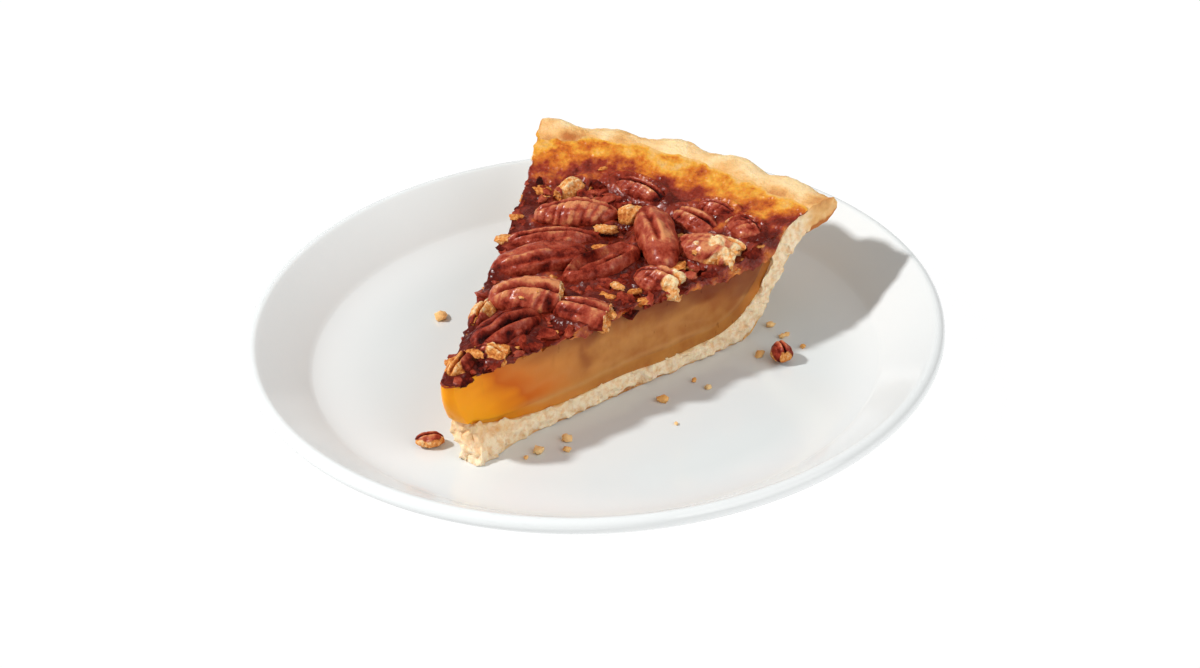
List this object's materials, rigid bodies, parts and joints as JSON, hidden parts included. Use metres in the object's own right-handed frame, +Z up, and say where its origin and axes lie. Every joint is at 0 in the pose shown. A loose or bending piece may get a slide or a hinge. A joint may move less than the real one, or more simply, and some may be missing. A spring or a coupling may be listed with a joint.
{
  "type": "pecan pie slice on a plate",
  "caption": "Wedge of pecan pie with a fluted pastry rim, gel-lined custard filling and candied pecan top, resting on a round white porcelain plate.",
  "frame": {"origin": "middle of the plate's foot ring, on the table", "axes": "+Z up; the slice's middle line runs along +Y, with its point towards -Y and its fluted rim towards +Y"},
  "size_m": [0.2028, 0.2032, 0.0448],
  "materials": {
    "porcelain": "white, clear gloss glaze",
    "pastry": "baked short pastry, pale crumb and golden browned rim",
    "syrup_gel": "translucent amber brown gel",
    "custard": "smooth set custard, amber at the point",
    "candied_top": "dark candied glaze, golden by the rim",
    "pecan": "red-brown wrinkled skin, satin",
    "pecan_broken": "red-brown skin with pale crumbly breaks"
  },
  "bodies": {
    "root": {"plate": "porcelain", "crust": "pastry", "filling_gel": "syrup_gel", "filling_custard": "custard", "candied_top": "candied_top", "pecan_half_1": "pecan", "pecan_half_2": "pecan", "pecan_half_3": "pecan", "pecan_half_4": "pecan", "pecan_half_5": "pecan", "pecan_half_6": "pecan", "pecan_half_7": "pecan", "pecan_half_8": "pecan", "pecan_piece_1": "pecan_broken", "pecan_piece_2": "pecan_broken", "pecan_piece_3": "pecan_broken", "pecan_piece_4": "pecan_broken", "pecan_piece_5": "pecan_broken", "pecan_piece_6": "pecan_broken", "pecan_piece_7": "pecan_broken", "pecan_piece_8": "pecan_broken", "pecan_piece_9": "pecan_broken", "pecan_piece_10": "pecan_broken", "pecan_piece_11": "pecan_broken", "pecan_chip_1": "pecan_broken", "pecan_chip_2": "pecan_broken"}
  },
  "joints": []
}
